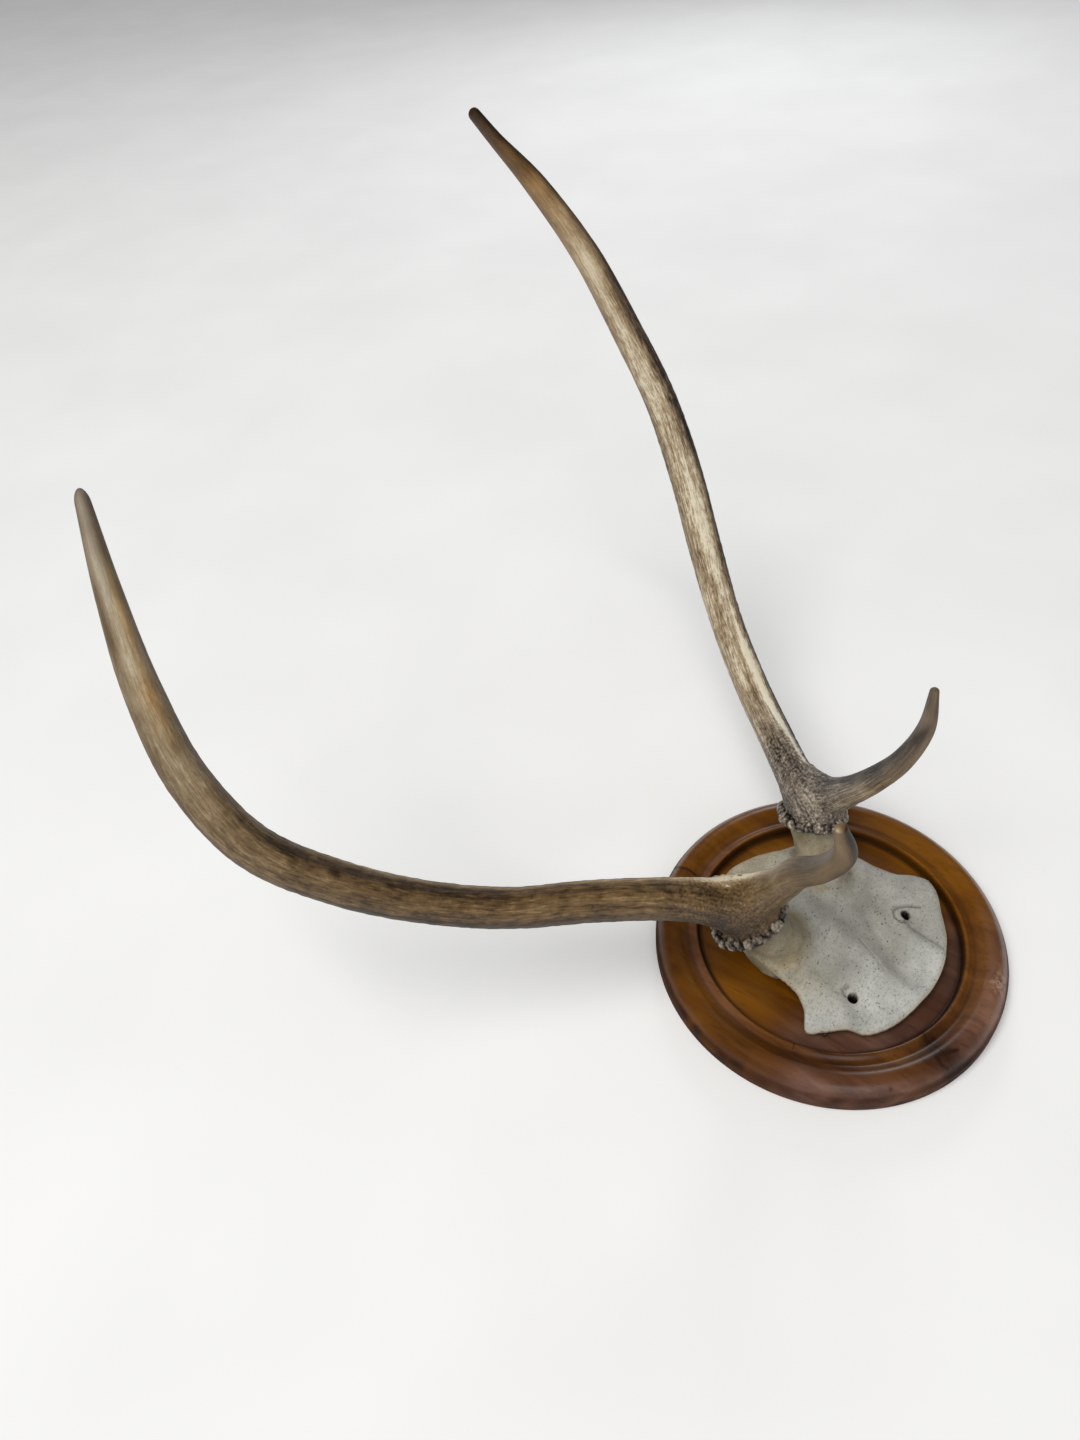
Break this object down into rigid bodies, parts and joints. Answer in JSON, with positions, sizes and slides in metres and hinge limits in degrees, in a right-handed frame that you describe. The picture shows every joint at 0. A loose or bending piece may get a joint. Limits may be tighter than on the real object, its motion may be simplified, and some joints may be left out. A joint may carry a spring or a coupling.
{
  "type": "mounted deer antlers",
  "caption": "Deer antlers, each a long curved beam with a brow tine, on their cut skull plate and a round turned wooden plaque.",
  "frame": {"origin": "centre of the plaque's flat back face", "axes": "+Z out of the wall, along the plaque's turning axis; +Y to the crown of the head, the side the beams sweep to; +X to the viewer's right"},
  "size_m": [0.4333, 0.4441, 0.3927],
  "materials": {
    "varnished_wood": "gloss",
    "bone": "matte",
    "right_antler": "satin",
    "left_antler": "satin",
    "pin_steel": "satin"
  },
  "bodies": {
    "root": {"plaque": "varnished_wood", "skull_plate": "bone", "right_beam": "right_antler", "right_brow_tine": "right_antler", "left_beam": "left_antler", "left_brow_tine": "left_antler", "fixing_pin": "pin_steel"}
  },
  "joints": []
}
